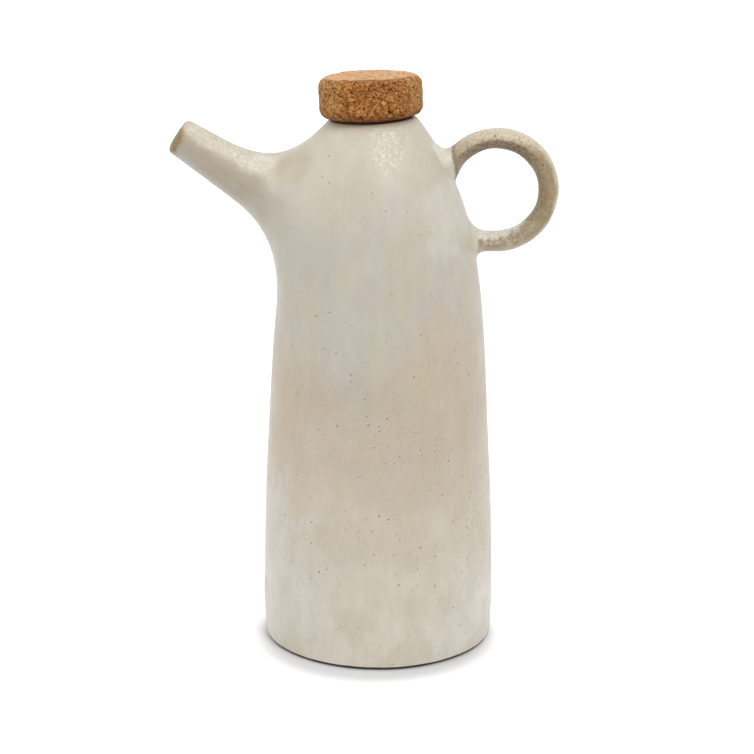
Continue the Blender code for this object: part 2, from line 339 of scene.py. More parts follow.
class Skin:
    """A mesh under construction, built from rings of points."""

    def __init__(self):
        self.points = []
        self.normals = []
        self.faces = []

    def add(self, points, normals=None):
        """Adds an array of points and returns their numbers, in the same layout."""
        flat = np.asarray(points).reshape(-1, 3)
        first = len(self.points)
        self.points.extend(flat)
        self.normals.extend(np.zeros_like(flat) if normals is None else normals.reshape(-1, 3))
        return np.arange(first, first + len(flat)).reshape(np.shape(points)[:-1])

    def add_on(self, gap, points):
        """Adds points of a smooth surface, with the surface's own normals."""
        return self.add(points, unit(gradient(gap, points)[1]))

    def bridge(self, low, high):
        """Faces between two closed rings."""
        self.sheet(np.array([low, high]))

    def follow(self, edge, loops):
        """Adds rings one after the other, from an edge on, and returns the last."""
        for points in loops:
            ring = self.add(points)
            self.bridge(edge, ring)
            edge = ring
        return edge

    def join(self, edge, inner, outer):
        """Closes a hollow wall, from an edge to the last inner ring and between the first rings."""
        self.bridge(edge, inner[-1])
        self.bridge(outer[0], inner[0])

    def sheet(self, rows, skipped=()):
        """Faces between the rows of a grid whose columns close into rings."""
        for i, (low, high) in enumerate(zip(rows, rows[1:])):
            quads = zip(low, np.roll(low, -1), np.roll(high, -1), high)
            self.faces += [list(quad) for j, quad in enumerate(quads) if (i, j) not in skipped]

    def cap(self, ring, centre):
        """Closes a ring with a fan of triangles round a centre point."""
        middle = self.add(np.asarray(centre)[None])[0]
        self.faces += [[a, b, middle] for a, b in zip(ring, np.roll(ring, -1))]

    def build(self, name, material, body, slot, *nodes):
        """Makes the object, which rides on a body and stands for its nodes."""
        used = sorted({int(v) for face in self.faces for v in face})
        place = {v: i for i, v in enumerate(used)}
        mesh = bpy.data.meshes.new(name)
        faces = [[place[int(v)] for v in face] for face in self.faces]
        mesh.from_pydata([tuple(self.points[v]) for v in used], [], faces)
        work = bmesh.new()
        work.from_mesh(mesh)
        bmesh.ops.recalc_face_normals(work, faces=work.faces)
        work.verts.ensure_lookup_table()
        facing = sum(
            face.normal.dot(Vector(self.normals[used[vert.index]]))
            for face in work.faces for vert in face.verts
        )
        if facing < 0:
            bmesh.ops.reverse_faces(work, faces=work.faces)
        work.to_mesh(mesh)
        work.free()
        mesh.shade_smooth()
        mesh.normals_split_custom_set_from_vertices([tuple(self.normals[v]) for v in used])
        mesh.materials.append(material)
        piece = bpy.data.objects.new(name, mesh)
        bpy.context.scene.collection.objects.link(piece)
        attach(piece, body)
        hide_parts(*nodes)
        return piece


def all_round(number):
    """The number once for each azimuth."""
    return np.broadcast_to(number, azimuths.shape)


def circle(centre, first, second, radius, turns):
    """Points round a centre at the given turns, from first towards second."""
    return centre + along(first, radius * np.cos(turns)) + along(second, radius * np.sin(turns))


# The wall's grid of levels and azimuths, and the block of it that the spout takes
azimuths = math.tau * np.arange(wall_columns) / wall_columns
outer_levels = np.linspace(base_top, mouth_level - lip_round, wall_rows + 1)
inner_levels = np.linspace(base_top, mouth_level - throat_depth - throat_flare, wall_rows + 1)
patch_rows = [int(np.argmin(abs(outer_levels - level))) for level in (spout_patch_low, spout_patch_high)]
patch_half = round(spout_patch_half_turn / math.tau * wall_columns)
patch_columns = [wall_columns // 2 - patch_half, wall_columns // 2 + patch_half]
patch_cells = {(i, j) for i in range(*patch_rows) for j in range(*patch_columns)}


def patch_loop(grid):
    """The points or numbers round the spout's block of a grid."""
    (low, high), (left, right) = patch_rows, patch_columns
    block = grid[low:high + 1, left:right + 1]
    return np.concatenate([block[0, :-1], block[:-1, -1], block[-1, :0:-1], block[:0:-1, 0]])


def wall_grid(gap, levels, inset):
    """Where the rays from each section's centre meet a skin of the wall."""
    level, azimuth = np.meshgrid(levels, azimuths, indexing="ij")
    tilt = tilt_at(level)
    origin = np.stack([through_stations(station_shifts, level), 0 * level, level], axis=-1)
    ahead = np.cos(azimuth)
    way = np.stack([ahead * np.cos(tilt), np.sin(azimuth), ahead * np.sin(tilt)], axis=-1)
    return meet(gap, origin, way, through_stations(station_radii, level) - inset)


outer_wall = wall_grid(swelled_gap, outer_levels, 0.0)
inner_wall = wall_grid(cavity_gap, inner_levels, wall)


def build_body(material):
    """The wall from the base up to the lip and back down the cavity."""
    skin = Skin()
    outer = skin.add_on(swelled_gap, outer_wall)
    skin.sheet(outer, patch_cells)
    from_centre = outer_wall[-1] - mouth_centre
    edge_depth = -(from_centre @ mouth_up)
    edge_radius = np.linalg.norm(from_centre + along(mouth_up, edge_depth), axis=-1)

    rings = []
    for t in np.linspace(0, 1, 8)[1:]:
        radius = blend(edge_radius, -0.64 * lip_pull, throat_radius + lip_round, -0.7 * lip_pull, t)
        rings.append((blend(edge_depth, -0.77 * lip_pull, 0, 0, t), radius))
    rings += [(lip_round * down, throat_radius + lip_round * out) for down, out in rounding(6)]
    rings += [(depth, throat_radius) for depth in np.linspace(lip_round, throat_depth, 6)[1:]]
    centres = [mouth_centre - along(mouth_up, all_round(depth)) for depth, _ in rings]
    edge = skin.follow(outer[-1], [
        circle(centre, mouth_across, sideways, radius, azimuths)
        for centre, (_, radius) in zip(centres, rings)
    ])
    inner = skin.add(inner_wall)
    skin.sheet(inner, patch_cells)
    skin.join(edge, inner, outer)
    skin.bridge(patch_loop(outer), patch_loop(inner))
    return skin.build("glazed_body", material, "bottle", "glaze", "body_wall")


def trumpet(start, gap, radius_guess):
    """Rings from a loop on a skin of the wall to a circle round the spout, and along it."""
    from_axis = start - spout_tip
    turns = np.arctan2(from_axis @ sideways, from_axis @ spout_up)
    radial = along(spout_up, np.cos(turns)) + along(sideways, np.sin(turns))
    end = meet(gap, spout_tip - spout_out * spout_neck_back, radial, radius_guess)
    _, run, on_wall = leave(gap, start, end)
    rings = [start]
    for t in np.linspace(0, 1, trumpet_rings + 1)[1:]:
        rings.append(settle(gap, blend(start, on_wall * run, end, spout_out * run, t)))
    for back in np.linspace(spout_neck_back, spout_tip_round, tube_rings + 1)[1:]:
        rings.append(meet(gap, spout_tip - spout_out * back, radial, radius_guess))
    return np.array(rings), radial


def build_spout(material):
    """The trumpet spout: out along its skin, over the tip and back down its bore."""
    skin = Skin()
    outside, radial = trumpet(patch_loop(outer_wall), clay_gap, spout_tip_radius)
    outer = skin.add_on(clay_gap, outside)
    skin.sheet(outer)
    tip_radius = ((outside[-1] - spout_tip) * radial).sum(-1)
    bore_radius = tip_radius.mean() - spout_wall
    sag = tip_sag * np.sin(2 * np.arctan2(radial @ sideways, radial @ spout_up) + 0.8)
    rings = [
        (spout_tip_round * down, tip_radius - spout_tip_round * off) for off, down in rounding(8)[1:]
    ] + [
        (spout_bore_round * down, bore_radius + spout_bore_round * off) for down, off in rounding(6)
    ]
    edge = skin.follow(outer[-1], [
        spout_tip - along(spout_out, back + sag * (back < tip_sag_reach))
        + radial * np.broadcast_to(radius, sag.shape)[..., None]
        for back, radius in rings
    ])
    inside, _ = trumpet(patch_loop(inner_wall), cavity_gap, bore_radius)
    inner = skin.add(inside)
    skin.sheet(inner)
    skin.join(edge, inner, outer)
    return skin.build("glazed_spout", material, "bottle", "glaze", "spout")


def build_base(material):
    """The slab under the wall, with its side glazed and its foot bare."""
    skin = Skin()
    side_points = wall_grid(clay_gap, np.linspace(base_top, foot_round, 5), 0.0)
    side = skin.add_on(clay_gap, side_points)
    skin.sheet(side)
    edge_radius = np.hypot(side_points[-1, :, 0], side_points[-1, :, 1])
    rings = [(foot_round * down, edge_radius - foot_round * off) for off, down in rounding(7)[1:]]
    rings += [(0, share * edge_radius) for share in (0.97, 0.9, 0.7, 0.45, 0.2)]
    edge = skin.follow(side[-1], [
        circle(np.array([0, 0, height]), rightward, sideways, radius, azimuths)
        for height, radius in rings
    ])
    skin.cap(edge, (0, 0, 0))
    skin.cap(side[0], (0, 0, base_top))
    return skin.build("base", material, "bottle", "bare_stoneware", "base_disc")


def ring_point(turn):
    """Points on the coil's centre line, by their turn from its lowest point."""
    turn = np.asarray(turn)
    outward = np.stack([np.sin(turn), np.zeros_like(turn), -np.cos(turn)], axis=-1)
    return ring_centre + ring_radius * outward


def ring_way(turn):
    """The centre line's direction there, away from the lower root."""
    turn = np.asarray(turn)
    return np.stack([np.cos(turn), np.zeros_like(turn), np.sin(turn)], axis=-1)


# Where the coil's level start leaves the wall, and where its centre line reaches the wall again
lower_root = meet(clay_gap, np.array([0.0, 0.0, ring_level]), rightward, station_radii[4])
turns = np.linspace(math.pi, 1.6 * math.pi, 4000)
root_turn = turns[np.argmax(clay_gap(ring_point(turns)) < 0)]
upper_root = ring_point(root_turn)


def collar_plane(root, way):
    """The way that a collar's rim faces: half-way between the coil and the wall's normal."""
    return unit(way + unit(gradient(clay_gap, root[None])[1])[0])


lower_rim = lower_root + rightward * collar_length
lower_rim_way = collar_plane(lower_root, rightward)
upper_rim_turn = root_turn - collar_length / ring_radius
upper_rim = ring_point(upper_rim_turn)
upper_rim_way = collar_plane(upper_root, -ring_way(root_turn))


def coil_rays(way, columns):
    """The ways out from the coil's centre line, square to a way along it."""
    turns = math.tau * np.arange(columns) / columns
    return along(np.cross(way, sideways), np.cos(turns)) + along(sideways, np.sin(turns))


def coil_section(centre, way, columns):
    """A ring of points of the dressed skin round the coil's centre line."""
    return meet(dressed_gap, centre, coil_rays(way, columns), coil_radius)


def build_handle(material):
    """The coil from collar to collar, on the skin that its rooted ends share with the wall."""
    stub = ring_centre[0] - lower_rim[0]
    length = stub + upper_rim_turn * ring_radius
    runs = np.linspace(0, length, coil_rings)
    sections = []
    for run in runs:
        turn = max(run - stub, 0) / ring_radius
        centre = ring_point(turn) - rightward * max(stub - run, 0)
        way = ring_way(turn)
        way = way + (lower_rim_way - rightward) * max(1 - run / collar_easing, 0) ** 2
        late = max(1 - (length - run) / collar_easing, 0) ** 2
        way = way + (-upper_rim_way - ring_way(upper_rim_turn)) * late
        sections.append(coil_section(centre, unit(way), coil_columns))
    skin = Skin()
    rings = skin.add_on(dressed_gap, np.array(sections))
    skin.sheet(rings)
    for end, centre, way in ((0, lower_rim, -lower_rim_way), (-1, upper_rim, -upper_rim_way)):
        middle = centre + way * coil_end_depth
        inner = skin.follow(rings[end], [middle + (sections[end] - centre) * coil_end_share])
        skin.cap(inner, middle)
    return skin.build("finger_ring", material, "bottle", "thin_tan_glaze", "handle")


def collar_edge(root, way):
    """Where the collar feathers out on the wall, at one distance from the coil."""

    def edge_gap(points):
        return coil_gap(points) - collar_reach - feather

    edge = root + coil_rays(way, pad_columns) * (coil_radius + collar_reach)
    for _ in range(6):
        edge = settle(clay_gap, edge)
        rise = along(way, (edge - root) @ way)
        edge = meet(edge_gap, root, unit(edge - rise - root), coil_radius + collar_reach) + rise
    return settle(swelled_gap, edge)


def build_pad(name, node, root, rim, rim_way, coil_way, material):
    """The collar of body clay that feathers out from the coil onto the wall."""
    top = coil_section(rim, rim_way, pad_columns)
    foot = collar_edge(root, rim_way)
    normal, run, on_wall = leave(swelled_gap, foot, top)
    rings = [
        settle(dressed_gap, blend(foot, on_wall * run, top, coil_way * run, t))
        for t in np.linspace(0, 1, pad_rings + 1)
    ]
    rings[0] = rings[0] - normal * collar_dip
    skin = Skin()
    outside = skin.add_on(dressed_gap, np.array(rings))
    skin.sheet(outside)
    buried = skin.follow(outside[0], [foot - normal * pad_foot_depth])
    skin.cap(buried, root - rim_way * pad_root_depth)
    skin.cap(outside[-1], rim - rim_way * pad_rim_depth)
    return skin.build(name, material, "bottle", "glaze", node)


def chips(points, seeds):
    """For each point, the nearest seed and how far it is from the border with the next one."""
    found = []
    for block in np.array_split(points, 1 + len(points) // block_size):
        away = np.linalg.norm(block[:, None] - seeds, axis=-1)
        order = np.argpartition(away, 1, axis=1)[:, :2]
        pair = np.take_along_axis(away, order, axis=1)
        found.append((order[np.arange(len(block)), pair.argmin(axis=1)], abs(pair[:, 0] - pair[:, 1])))
    return [np.concatenate(column) for column in zip(*found)]


def stopper_profile():
    """The disc's outline as radius and height, from the middle of its foot to the middle of its top."""
    low, high = stopper_bottom + stopper_foot_round, stopper_top - stopper_top_round
    profile = [(share * stopper_radius, stopper_bottom) for share in np.linspace(0.04, 0.76, 14)]
    profile += [
        (stopper_radius - stopper_foot_round * inward, stopper_bottom + stopper_foot_round * up)
        for up, inward in rounding(14)[1:]
    ]
    profile += [(stopper_radius, level) for level in np.linspace(low, high, 20)[1:-1]]
    profile += [
        (stopper_radius - stopper_top_round * inward, stopper_top - stopper_top_round * down)
        for inward, down in rounding(16)
    ]
    profile += [(share * stopper_radius, stopper_top) for share in np.linspace(0.76, 0.02, 36)]
    return np.array(profile)


def roughened(points, outward, draws):
    """Cork's relief: chips that stand a little proud or low, and pits torn out between them."""
    reach = stopper_radius + 0.001
    seeds = draws.uniform(-1, 1, (chip_count, 3)) * (reach, reach, 0.012) + (0, 0, 0.004)
    nearest, border = chips(points, seeds)
    proud = draws.normal(0, chip_relief, chip_count)[nearest]
    proud = proud - chip_relief * np.exp(-border / seam_width)
    weights = np.hypot(points[:, 0], points[:, 1])
    spots = points[draws.choice(len(points), pit_count, replace=False, p=weights / weights.sum())]
    sizes = draws.uniform(0.00022, 0.00052, len(spots))
    front = np.array(cork_pit)
    spots = np.vstack([spots, front, front + (-0.0005, 0, 0.0016), front + (0.0004, 0, -0.0005)])
    sizes = np.append(sizes, [0.00085, 0.00050, 0.00070])
    pit = np.zeros(len(points))
    for spot, size in zip(spots, sizes):
        away = np.linalg.norm((points - spot) * (1, 1, 1.3), axis=-1)
        pit = np.maximum(pit, np.exp(-((away / size) ** 2.5)) * min(1, size / 0.0005))
    return points + outward * (proud - cork_pit_depth * pit)[:, None], pit


def build_cork(name, node, profile, columns, material, draws):
    """A turned piece of cork about the mouth's axis, from its outline, with cork's own relief."""
    turns = math.tau * np.arange(columns) / columns
    steps = np.gradient(profile, axis=0)
    slopes = unit(np.stack([steps[:, 1], -steps[:, 0]], axis=-1))
    around = np.stack([np.cos(turns), np.sin(turns)], axis=-1)

    def spun(pairs):
        """A radius and a height in each row, turned round the axis."""
        heights = np.broadcast_to(pairs[:, None, 1:], (len(pairs), columns, 1))
        return np.concatenate([pairs[:, None, :1] * around, heights], axis=-1).reshape(-1, 3)

    shaped, pit = roughened(spun(profile), spun(slopes), draws)
    if node == "stopper_head":
        x, y, z = shaped.T
        share = np.clip((z - stopper_bottom) / (stopper_top - stopper_bottom), 0, 1)
        leftward = np.clip(-x / stopper_radius, 0, 1)
        bulge = 1 - 0.014 * share * leftward + 0.003 * np.sin(2 * np.arctan2(y, x) + 0.6) * share
        lean = 0.00035 * (x / stopper_radius) * share
        shaped = np.stack([x * bulge, y * bulge, z - lean], axis=-1)
    placed = mouth_centre + shaped @ np.array([mouth_across, sideways, mouth_up])
    placed = placed.reshape(len(profile), columns, 3)
    skin = Skin()
    rings = skin.add(placed)
    skin.sheet(rings)
    for end in (0, -1):
        skin.cap(rings[end], placed[end].mean(axis=0))
    piece = skin.build(name, material, "stopper", "cork", node)
    attribute = piece.data.attributes.new("pit", "FLOAT", "POINT")
    attribute.data.foreach_set("value", np.append(pit, [0.0, 0.0]))
    return piece


def build_stopper(material):
    """The thick cork disc and the tapered plug under it."""
    draws = np.random.default_rng(7)
    build_cork("cork_head", "stopper_head", stopper_profile(), 300, material, draws)
    plug_foot = plug_radius - plug_taper
    profile = [(share * plug_foot, -plug_length) for share in np.linspace(0.1, 0.9, 8)]
    profile += [(plug_foot - 0.0002, -plug_length + 0.0003), (plug_foot, -plug_length + plug_bevel)]
    rise = plug_length - plug_bevel + stopper_bottom
    for share in np.linspace(0, 1, 40)[1:]:
        profile.append((plug_foot + plug_taper * share, -plug_length + plug_bevel + rise * share))
    profile += [(share * plug_radius, stopper_bottom) for share in (0.9, 0.6, 0.3, 0.1)]
    build_cork("cork_plug", "stopper_plug", np.array(profile), 160, material, draws)


def linear(colour):
    """A display colour, from 0 to 255, as the shader takes it."""
    shares = np.array(colour) / 255
    return (*np.where(shares <= 0.04045, shares / 12.92, ((shares + 0.055) / 1.055) ** 2.4), 1.0)


class Field:
    """What a node gives: a number, a vector or a colour. Numbers can be summed and multiplied."""

    def __init__(self, tree, socket):
        self.tree = tree
        self.socket = socket

    def __add__(self, other):
        return self.tree.math("ADD", self, other)

    def __sub__(self, other):
        return self.tree.math("SUBTRACT", self, other)

    def __rsub__(self, other):
        return self.tree.math("SUBTRACT", other, self)

    def __mul__(self, other):
        return self.tree.math("MULTIPLY", self, other)

    def __truediv__(self, other):
        return self.tree.math("DIVIDE", self, other)

    def band(self, low, high, start=0.0, end=1.0, steps="SMOOTHSTEP"):
        """A smooth step from start to end as the number goes from low to high."""
        inputs = {"Value": self, "From Min": low, "From Max": high, "To Min": start, "To Max": end}
        return self.tree.node("ShaderNodeMapRange", inputs, "Result", interpolation_type=steps)


class Recipe:
    """A tree of nodes under construction."""

    def __init__(self, tree):
        self.tree = tree

    def feed(self, node, inputs):
        """Links each input to a field, or sets it to a plain value."""
        for name, value in inputs.items():
            if isinstance(value, Field):
                self.tree.links.new(value.socket, node.inputs[name])
            else:
                node.inputs[name].default_value = value

    def node(self, kind, inputs, output=0, **settings):
        """A new node, and what it gives."""
        node = self.tree.nodes.new(kind)
        for name, value in settings.items():
            setattr(node, name, value)
        self.feed(node, inputs)
        return Field(self, node.outputs[output])

    def math(self, operation, first, second=0.0):
        return self.node("ShaderNodeMath", {0: first, 1: second}, operation=operation)

    def most(self, first, *others):
        """The greatest of some numbers."""
        for other in others:
            first = self.math("MAXIMUM", first, other)
        return first

    def vector(self, operation, first, second):
        name = "Scale" if operation == "SCALE" else 1
        output = "Value" if operation in ("DISTANCE", "DOT_PRODUCT") else "Vector"
        return self.node("ShaderNodeVectorMath", {0: first, name: second}, output, operation=operation)

    def away(self, place, point=(0, 0, 0)):
        """How far a place is from a point."""
        return self.vector("DISTANCE", place, point)

    def parts(self, vector):
        """A vector's three parts."""
        node = self.node("ShaderNodeSeparateXYZ", {0: vector}).socket.node
        return [Field(self, socket) for socket in node.outputs]

    def joined(self, parts):
        """A vector from its three parts."""
        return self.node("ShaderNodeCombineXYZ", dict(enumerate(parts)))

    def mix(self, first, second, share):
        """A colour tinted with another one."""
        first, second = (linear(tone) if isinstance(tone, tuple) else tone for tone in (first, second))
        return self.node("ShaderNodeMix", {0: share, 6: first, 7: second}, 2, data_type="RGBA")

    def tinted(self, colour, tints):
        """The colour tinted with others in turn, each by its own share."""
        for tint, share in tints:
            colour = self.mix(colour, tint, share)
        return colour

    def shade(self, colour, share, strength):
        """The colour made lighter or darker where the share is above or below a half."""
        value = share.band(0.2, 0.8, 1 - strength, 1 + strength)
        return self.node("ShaderNodeHueSaturation", {"Value": value, "Color": colour})

    def ramp(self, value, stops):
        """A colour that follows stops of (value, colour)."""
        low, high = stops[0][0], stops[-1][0]
        colour = self.node("ShaderNodeValToRGB", {0: (value - low) / (high - low)})
        shades = colour.socket.node.color_ramp
        shades.interpolation = "EASE"
        for i, (level, tint) in enumerate(stops):
            position = (level - low) / (high - low)
            element = shades.elements[i] if i < 2 else shades.elements.new(position)
            element.position = position
            element.color = linear(tint)
        return colour


class Surface(Recipe):
    """A material whose colour, roughness and relief come from noise, with lengths in mm."""

    def __init__(self, name):
        self.material = bpy.data.materials.new(name)
        self.material.use_nodes = True
        super().__init__(self.material.node_tree)
        self.shader = self.tree.nodes["Principled BSDF"]
        self.place = self.vector("SCALE", self.node("ShaderNodeTexCoord", {}, "Object"), 1000)
        self.across, self.deep, self.level = self.parts(self.place)

    def stretched(self, size, shift=0.0):
        """The place in units of a texture's size, which is one number or one for each axis."""
        sizes = size if isinstance(size, tuple) else (size, size, size)
        scaled = self.vector("MULTIPLY", self.place, tuple(1 / width for width in sizes))
        return self.vector("ADD", scaled, (shift, 1.7 * shift, 2.3 * shift))

    def noise_at(self, place, detail=2.0, roughness=0.5):
        inputs = {"Vector": place, "Scale": 1, "Detail": detail, "Roughness": roughness}
        return self.node("ShaderNodeTexNoise", inputs, "Fac")

    def noise(self, size, shift=0.0, detail=2.0, roughness=0.5):
        return self.noise_at(self.stretched(size, shift), detail, roughness)

    def seams(self, place):
        """The distance to the nearest border between scattered cells."""
        inputs = {"Vector": place, "Scale": 1}
        return self.node("ShaderNodeTexVoronoi", inputs, "Distance", feature="DISTANCE_TO_EDGE")

    def cells(self, place):
        """The same cells: the distance from each one's middle, and chance values of its own."""
        distance = self.node("ShaderNodeTexVoronoi", {"Vector": place, "Scale": 1}, "Distance")
        return distance, self.parts(Field(self, distance.socket.node.outputs["Color"]))

    def blob(self, centre, radius, soft, shift, peak=1.0, squash=(1, 1, 1)):
        """A cloud with an uneven edge round a point, narrower along an axis with more squash."""
        middle = tuple(number * part for number, part in zip(centre, squash))
        away = self.away(self.vector("MULTIPLY", self.place, squash), middle)
        ragged = self.noise(14, shift, 3).band(0.2, 0.8, -soft, soft)
        return (away + ragged).band(radius - soft, radius + soft, peak, 0)

    def seen_from(self, point):
        """The place as seen from a point of the object."""
        return self.vector("SUBTRACT", self.place, tuple(1000 * point))

    def above_mouth(self):
        """The place from the mouth's centre, and its height over the mouth."""
        from_mouth = self.seen_from(mouth_centre)
        return from_mouth, self.vector("DOT_PRODUCT", from_mouth, tuple(mouth_up))

    def relief(self, name, height, depth):
        """Raises the surface by a height from 0 to 1, over a depth in mm, for one of its normals."""
        bump = self.node("ShaderNodeBump", {"Strength": 1, "Distance": depth / 1000, "Height": height})
        self.feed(self.shader, {name: bump})

    def coat(self, weight):
        """The glaze's clear layer, broken up by the relief of its fine crystals."""
        self.feed(self.shader, {"Coat Weight": weight, "Coat Roughness": coat_roughness})
        self.relief("Coat Normal", self.noise(0.85, 61.7, 2, 0.6).band(0.3, 0.7), coat_grain)

    def finish(self, colour, roughness, specular=0.5):
        looks = {"Base Color": colour, "Roughness": roughness, "Specular IOR Level": specular}
        self.feed(self.shader, looks)
        return self.material


def specks(mat, size, ratio, share, shift):
    """Uneven dots in some of the cells of a size, as wide as a ratio of it, and painted highlights on
    their upper side.
    """
    place = mat.stretched(size, shift)
    ragged = mat.noise(0.5, shift + 0.5, 2).band(0.2, 0.8, -0.6, 0.6)
    highlight_place = mat.vector("ADD", place, (0.55 * ratio, 0.0, -0.9 * ratio))
    masks = []
    for spot in (place, highlight_place):
        distance, chance = mat.cells(spot)
        soft = distance / chance[1].band(0, 1, 0.55 * ratio, 1.15 * ratio) + ragged
        masks.append(soft.band(0.4, 1.15, 1, 0) * mat.math("LESS_THAN", chance[0], share))
    return masks


def sparkling_highlight(mat, colour, share):
    """The colour with a painted highlight, broken into pale sparkles and the darker grains between them,
    by a share.
    """
    crystals = mat.noise(1.15, 73.3, 3, 0.75)
    colour = mat.mix(colour, (232, 226, 212), crystals.band(0.51, 0.62) * share * 0.6)
    return mat.mix(colour, (176, 163, 142), crystals.band(0.48, 0.36) * share * 0.55)


# The glaze's clouds, and some patches of painted light and shade: tint and strength, then each cloud's
# middle, radius, softness, shift and peak
glaze_clouds = (
    (
        (210, 207, 196), 0.75,
        ((-42, -26, 32), 31, 15, 1.3), ((42, -24, 12), 26, 12, 5.2),
        ((20, 44, 60), 34, 16, 7.7), ((31, -16, 176), 15, 8, 3.9, 0.8),
    ),
    # Painted light low on the right front, near the foot.
    ((224, 219, 208), 0.7, ((46, -16, 10), 20, 8, 2.6)),
    # Cool grey clouds. The one under the spout's root, at (-34, -15, 166), is painted shade.
    (
        (187, 184, 174), 0.75,
        ((-12, -42, 138), 24, 12, 2.2), ((-34, -15, 166), 18, 8, 4.1), ((-10, 40, 128), 28, 12, 9.4),
    ),
    (
        (193, 177, 156), 0.6,
        ((28, -33, 112), 24, 10, 6.3), ((-37, -22, 106), 14, 7, 8.8), ((26, 36, 100), 26, 12, 11.9),
    ),
    ((184, 172, 150), 0.85, ((-32, -13, 196), 9, 3, 13.7)),
    ((218, 213, 199), 1, ((-46, -8, 199), 6, 2, 12.5)),
    # Pale glaze on the upper collar's fillet, with a painted highlight.
    ((224, 221, 208), 0.9, ((27.5, -5, 200.5), 5.5, 2.5, 20.4)),
)

# Its veils: tint, the noise's size, shift and detail, where the veil starts and ends, strength
glaze_veils = (
    ((192, 183, 156), (11, 11, 17), 15.3, 3, 0.40, 0.66, 0.42),
    ((198, 177, 160), (7, 7, 12), 21.9, 3, 0.50, 0.72, 0.22),
    ((207, 203, 190), (12, 12, 20), 36.2, 4, 0.46, 0.78, 0.22),
)


def glaze_colours(mat):
    """The speckled satin glaze: its colour, its gloss and its pits."""
    warp = mat.noise((38, 38, 26), 3.1, 3).band(0.2, 0.8, -16, 16)
    colour = mat.ramp(mat.level + warp, [
        (0, (219, 212, 198)), (30, (211, 203, 187)), (58, (202, 192, 174)), (85, (194, 181, 163)),
        (108, (187, 173, 154)), (126, (190, 179, 163)), (148, (189, 182, 170)),
        (172, (190, 183, 170)), (196, (197, 189, 172)), (215, (202, 194, 178)),
    ])
    for tint, share, *clouds in glaze_clouds:
        cloud = mat.most(*[mat.blob(*shape) for shape in clouds])
        colour = mat.mix(colour, tint, cloud * share)
    for tint, size, shift, detail, low, high, share in glaze_veils:
        colour = mat.mix(colour, tint, mat.noise(size, shift, detail).band(low, high, 0, share))
    colour = mat.shade(colour, mat.noise((4, 4, 9), 8.2, 4), 0.03)
    colour = mat.shade(colour, mat.noise((1.2, 1.2, 9), 2.9, 2), 0.012)
    grain = mat.noise(0.55, 4.4, 3, 0.65)
    colour = mat.shade(colour, grain, 0.022)

    belt = mat.level.band(5, 62, 0.45, 1) * mat.level.band(118, 150, 1, 0.16)
    share = mat.noise(22, 6.6).band(0.35, 0.65, 0.5, 1) * belt
    scratch, _ = specks(mat, (1.7, 1.7, 4.6), 0.15, share * 0.42, 31.0)
    fine, fine_pit_highlights = specks(mat, 1.5, 0.2, share * 0.34, 43.0)
    dots, pit_highlights = specks(mat, 2.7, 0.175, share * 0.6, 17.0)
    marks = mat.noise((0.8, 0.8, 1.5), 47.3, 3, 0.7).band(0.62, 0.68)
    pit_highlights = mat.most(pit_highlights, fine_pit_highlights * 0.6)
    colour = mat.tinted(colour, [
        ((160, 144, 125), marks * share * 0.75),
        # Painted highlights on the upper side of the pits.
        ((226, 217, 201), pit_highlights * 0.45),
        ((152, 138, 120), scratch * 0.6),
        ((154, 138, 119), fine * 0.66),
        ((122, 105, 84), dots * 0.74),
    ])

    # A painted highlight on the neck, broken into sparkles.
    colour = sparkling_highlight(mat, colour, mat.blob((3.5, -22, 205), 9, 4.5, 71.1, squash=(1.35, 1, 0.8)))

    from_mouth, below = mat.above_mouth()
    away = mat.away(from_mouth)
    near = away.band(23, 26, 1, 0)
    # Under the cork: painted soft shade, as a brownish band fading down the neck; a worn brown lip; and
    # a near-black line on the lip's outer edge, the mask named burnt, which is a painted contact shadow.
    burnt = below.band(-1.0, -0.4, 0, 0.92) * below.band(-0.22, -0.06, 1, 0) * away.band(15.0, 15.8)
    colour = mat.tinted(colour, [
        ((172, 152, 126), near * below.band(-4.2, -1.2, 0, 0.45)),
        ((158, 138, 102), near * below.band(-0.9, -0.3, 0, 0.8)),
        ((78, 42, 18), near * burnt),
    ])

    gloss = mat.noise(9, 10.1, 3).band(0.3, 0.7, 0.42, 0.55) + grain.band(0.35, 0.65, -0.05, 0.08)
    bumps = mat.noise(0.8, 12.3, 3, 0.6) * 0.55 + mat.noise((4, 4, 7), 14.9, 2) * 0.8
    return colour, gloss, bumps - dots * 0.5


